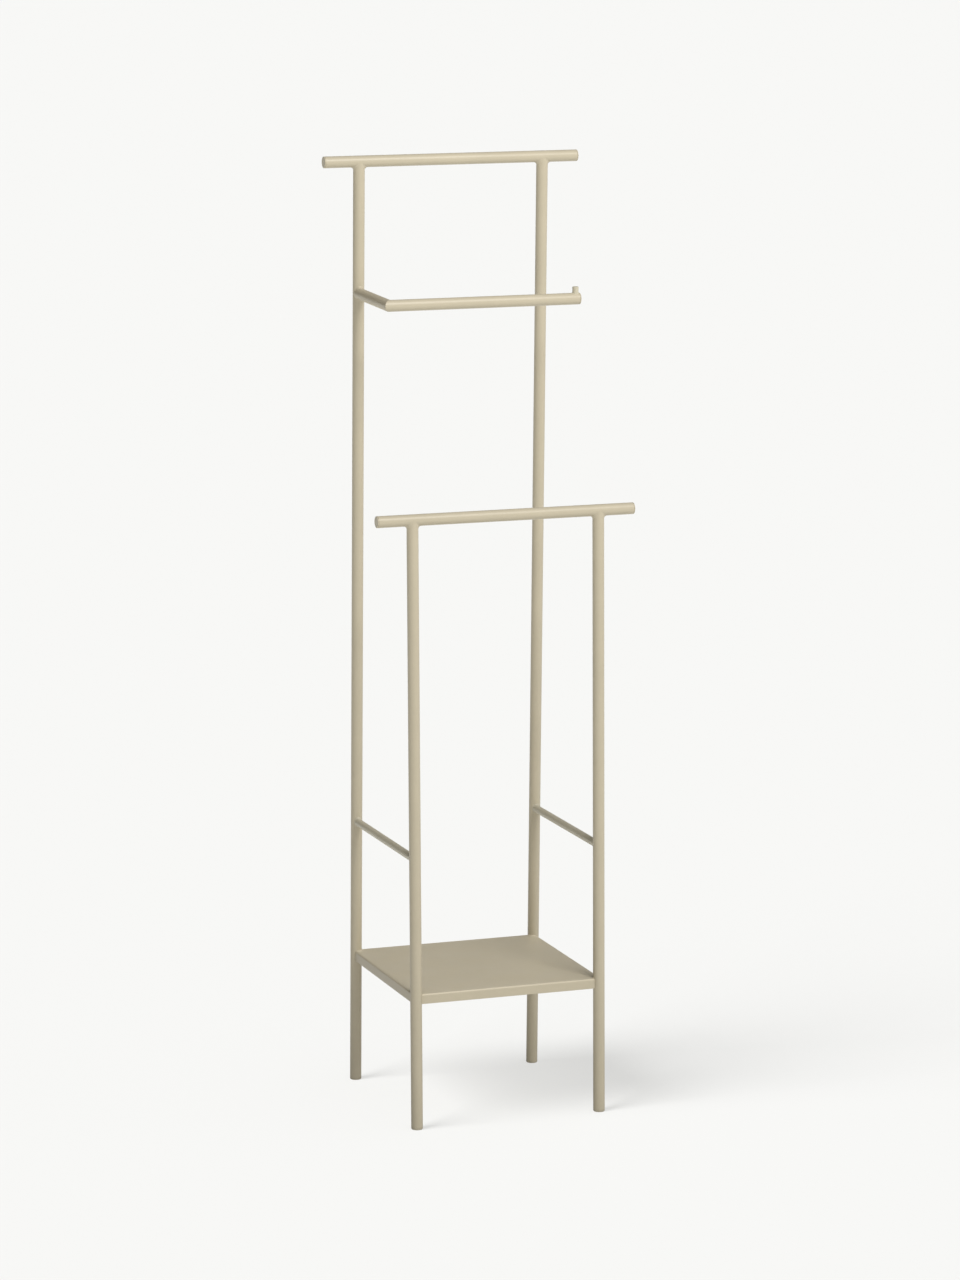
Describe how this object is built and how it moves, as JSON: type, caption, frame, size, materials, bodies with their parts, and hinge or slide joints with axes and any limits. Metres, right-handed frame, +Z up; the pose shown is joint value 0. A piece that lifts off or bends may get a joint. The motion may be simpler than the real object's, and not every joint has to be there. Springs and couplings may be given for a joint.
{
  "type": "valet stand",
  "caption": "Free-standing tubular steel valet stand: tall rear frame with coat rail and L-shaped trouser arm, lower front frame with rail, side rods and a folded sheet shelf.",
  "frame": {"origin": "on the floor, midway between the four feet", "axes": "+Z up; +X to the right of someone facing the front, along the rails; +Y towards the tall rear frame, so the front faces -Y"},
  "size_m": [0.346, 0.268, 1.23],
  "materials": {
    "powder_coated_tube": "matte",
    "powder_coated_rod": "matte",
    "powder_coated_sheet": "matte",
    "powder_coated_plug": "matte",
    "nylon_glide": "matte"
  },
  "bodies": {
    "root": {"front_left_upright": "powder_coated_tube", "front_right_upright": "powder_coated_tube", "rear_left_upright": "powder_coated_tube", "rear_right_upright": "powder_coated_tube", "top_rail": "powder_coated_tube", "front_rail": "powder_coated_tube", "top_rail_left_plug": "powder_coated_plug", "top_rail_right_plug": "powder_coated_plug", "front_rail_left_plug": "powder_coated_plug", "front_rail_right_plug": "powder_coated_plug", "arm_return": "powder_coated_tube", "arm_bar": "powder_coated_tube", "arm_bar_plug": "powder_coated_plug", "arm_stop_peg": "powder_coated_rod", "left_side_rod": "powder_coated_rod", "right_side_rod": "powder_coated_rod", "shelf_tray": "powder_coated_sheet", "front_left_glide": "nylon_glide", "front_right_glide": "nylon_glide", "rear_left_glide": "nylon_glide", "rear_right_glide": "nylon_glide"}
  },
  "joints": []
}
